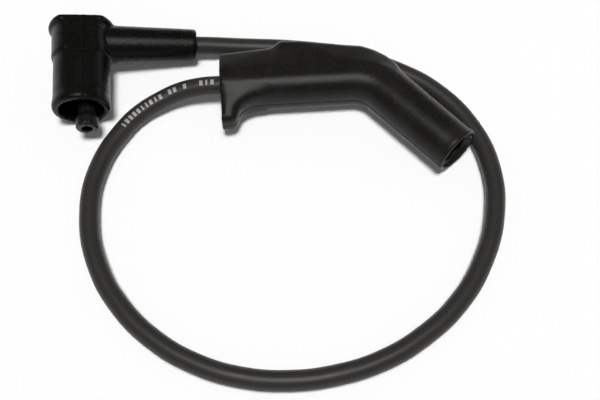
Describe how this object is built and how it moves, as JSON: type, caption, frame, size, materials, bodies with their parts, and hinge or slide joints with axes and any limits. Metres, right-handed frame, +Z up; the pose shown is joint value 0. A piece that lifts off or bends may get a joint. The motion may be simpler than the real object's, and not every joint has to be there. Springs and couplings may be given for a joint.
{
  "type": "spark plug wire",
  "caption": "Ignition cable in an open loop, with a right-angle boot for the coil at one end and a long bent boot for the spark plug at the other.",
  "frame": {"origin": "on the surface that the lead lies on, under the middle of the box around its two boots", "axes": "+Z up from the surface; +X from the coil boot towards the plug boot; the cable's loop lies towards -Y"},
  "size_m": [0.1667, 0.1389, 0.0237],
  "materials": {
    "boot_rubber": "satin moulded rubber",
    "post_rubber": "satin moulded rubber",
    "cable_jacket": "matt extruded jacket",
    "terminal_brass": "plain",
    "terminal_steel": "plated",
    "conductor": "matt"
  },
  "bodies": {
    "root": {"elbow_boot": "boot_rubber", "terminal_post": "post_rubber", "coil_terminal": "terminal_brass", "coil_end_conductor": "conductor", "plug_boot": "boot_rubber", "plug_terminal": "terminal_steel", "terminal_clip": "terminal_steel", "plug_end_conductor": "conductor", "ignition_cable": "cable_jacket"}
  },
  "joints": []
}
